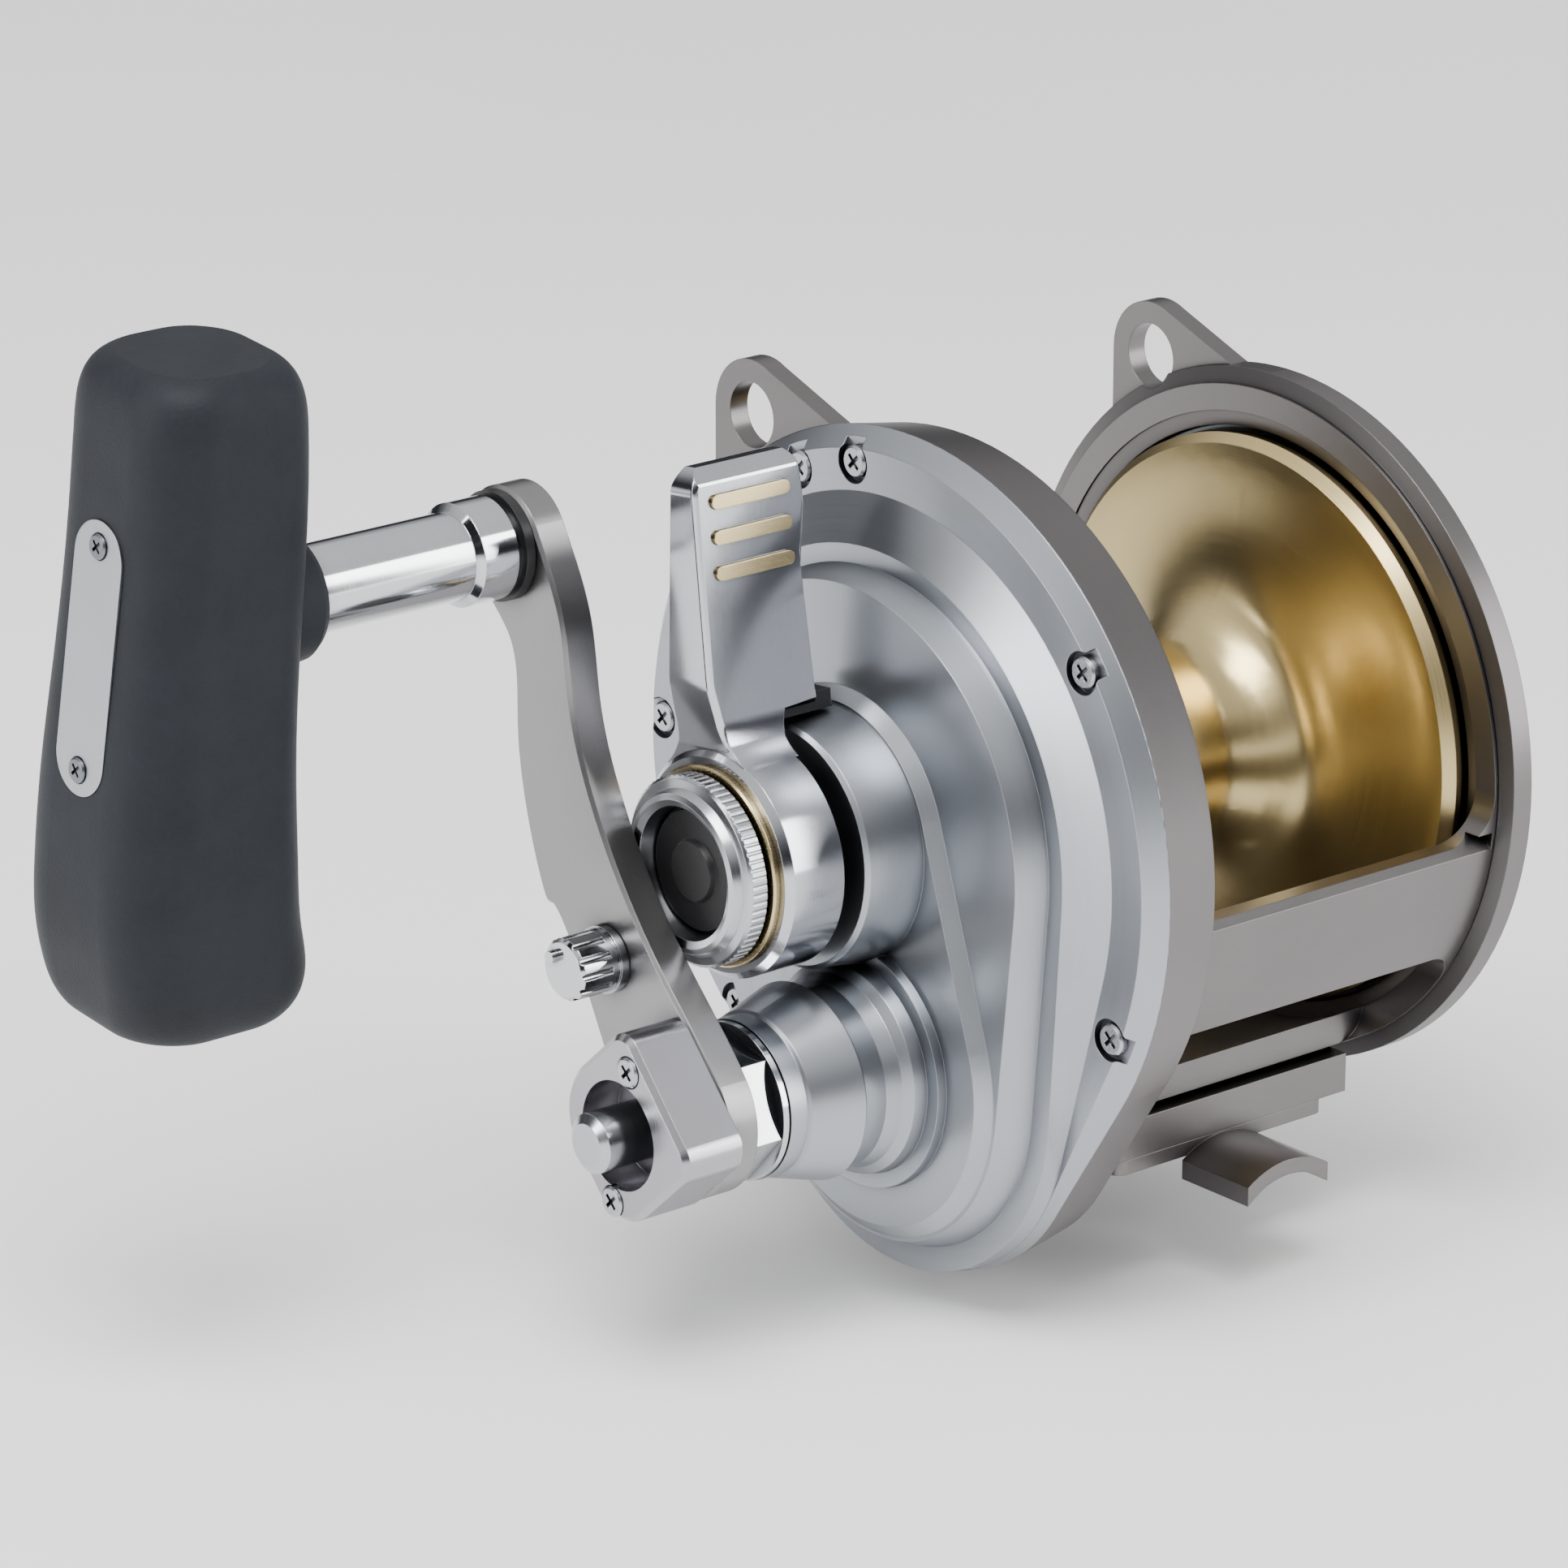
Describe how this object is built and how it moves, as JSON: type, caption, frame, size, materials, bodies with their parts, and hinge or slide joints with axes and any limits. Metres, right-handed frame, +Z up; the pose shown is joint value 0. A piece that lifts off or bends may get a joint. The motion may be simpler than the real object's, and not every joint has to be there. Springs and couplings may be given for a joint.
{
  "type": "trolling reel",
  "caption": "Two-speed lever-drag trolling reel with open one-piece frame, metal spool, crank handle with foam grip, harness eyes and a saddle foot.",
  "frame": {"origin": "middle of the foot's underside, between the two rod clamp stud holes", "axes": "+X along the spool axis away from the handle, -Y to the line side (rod tip), +Z up away from the rod"},
  "size_m": [0.201, 0.112, 0.1464],
  "materials": {
    "frame_metal": "brushed anodised",
    "plate_metal": "satin brushed anodised",
    "gold_metal": "gold anodised, turned",
    "gold_inlay": "gold anodised",
    "screw_steel": "stainless",
    "dark_screw": "stainless",
    "bearing_steel": "ground",
    "gear_steel": "machined",
    "polished_steel": "polished",
    "lining": "woven carbon friction lining",
    "arm_metal": "satin anodised",
    "hub_metal": "satin anodised",
    "black_plastic": "moulded",
    "button_metal": "satin",
    "grip_foam": "closed-cell foam",
    "badge_metal": "satin",
    "lever_metal": "polished",
    "knurl_steel": "knurled"
  },
  "bodies": {
    "housing": {"frame": "frame_metal", "reel_foot": "frame_metal", "foot_screws": "screw_steel", "handle_side_plate": "plate_metal", "side_plate_screws": "screw_steel", "gear_case_plate": "plate_metal", "gear_case_screws": "screw_steel", "left_side_plate": "plate_metal", "left_plate_screws": "screw_steel", "left_bearing": "bearing_steel", "drive_bearing": "bearing_steel", "handle_bearing_inner": "bearing_steel", "handle_bearing_outer": "bearing_steel", "pawl_pin": "bearing_steel"},
    "shaft": {"spool_shaft": "bearing_steel", "drag_springs": "bearing_steel"},
    "spool": {"spool": "gold_metal", "spool_bearings": "bearing_steel", "drag_disc": "bearing_steel", "click_ratchet": "bearing_steel"},
    "drive": {"pressure_plate": "plate_metal", "drag_lining": "lining", "low_pinion": "gear_steel", "high_pinion": "gear_steel"},
    "crank": {"handle_shaft": "bearing_steel", "high_gear": "gear_steel", "anti_reverse_ratchet": "gear_steel", "hub_washer": "polished_steel", "hub_nut": "polished_steel", "handle_arm": "arm_metal", "hub_block": "hub_metal", "hub_screws": "screw_steel", "stem_post": "polished_steel", "stem_seal": "black_plastic", "stem_nut": "polished_steel"},
    "low_gear": {"low_gear": "gear_steel"},
    "shift": {"shift_button": "button_metal", "shift_rod": "bearing_steel", "shift_spring": "bearing_steel"},
    "arm_lock": {"release_knob": "polished_steel"},
    "grip": {"grip": "grip_foam", "grip_core": "black_plastic", "grip_bearings": "bearing_steel", "badge": "badge_metal", "badge_screws": "dark_screw"},
    "lever": {"drag_lever": "lever_metal", "lever_inlays": "gold_inlay", "lever_ring": "gold_inlay", "lever_detent": "black_plastic", "drag_cam": "bearing_steel"},
    "preset": {"preset_knob": "knurl_steel", "preset_insert": "black_plastic"},
    "clicker": {"click_button": "black_plastic", "click_pawl": "bearing_steel"},
    "pawl": {"pawl": "gear_steel"}
  },
  "joints": [
    {"name": "crank_spin", "type": "hinge", "parent": "housing", "child": "crank", "pos_m": [0, -0.0057, 0.01949], "axis": [1, 0, 0], "continuous": true},
    {"name": "drive_spin", "type": "hinge", "parent": "housing", "child": "drive", "pos_m": [0, 0, 0.0525], "axis": [1, 0, 0], "continuous": true},
    {"name": "spool_spin", "type": "hinge", "parent": "shaft", "child": "spool", "pos_m": [0, 0, 0.0525], "axis": [1, 0, 0], "continuous": true},
    {"name": "low_gear_spin", "type": "hinge", "parent": "housing", "child": "low_gear", "pos_m": [0, -0.0057, 0.01949], "axis": [1, 0, 0], "continuous": true},
    {"name": "grip_spin", "type": "hinge", "parent": "crank", "child": "grip", "pos_m": [0, 0.032, 0.09379], "axis": [1, 0, 0], "continuous": true},
    {"name": "shift_push", "type": "slide", "parent": "crank", "child": "shift", "axis": [1, 0, 0], "range_m": [0, 0.003], "stiffness_N_per_m": 600, "deforming": ["shift_spring"]},
    {"name": "arm_lock_turn", "type": "hinge", "parent": "crank", "child": "arm_lock", "pos_m": [0, 0.0089, 0.03909], "axis": [1, 0, 0], "range_deg": [0, 90]},
    {"name": "lever_swing", "type": "hinge", "parent": "housing", "child": "lever", "pos_m": [0, 0, 0.0525], "axis": [1, 0, 0], "range_deg": [-62, 68]},
    {"name": "shaft_draw", "type": "slide", "parent": "housing", "child": "shaft", "axis": [-1, 0, 0], "range_m": [-0.00025, 0.00025]},
    {"name": "preset_turn", "type": "hinge", "parent": "lever", "child": "preset", "pos_m": [0, 0, 0.0525], "axis": [1, 0, 0], "range_deg": [-150, 150]},
    {"name": "click_slide", "type": "slide", "parent": "housing", "child": "clicker", "axis": [0, 0, -1], "range_m": [0, 0.003]},
    {"name": "pawl_swing", "type": "hinge", "parent": "housing", "child": "pawl", "pos_m": [0, 0.0111, 0.02899], "axis": [1, 0, 0], "range_deg": [0, 6.5]}
  ],
  "couplings": [
    {"joint": "drive_spin", "follows": "crank_spin", "ratio": -4.1538},
    {"joint": "spool_spin", "follows": "crank_spin", "ratio": -4.1538},
    {"joint": "low_gear_spin", "follows": "crank_spin", "ratio": 2.4725}
  ]
}
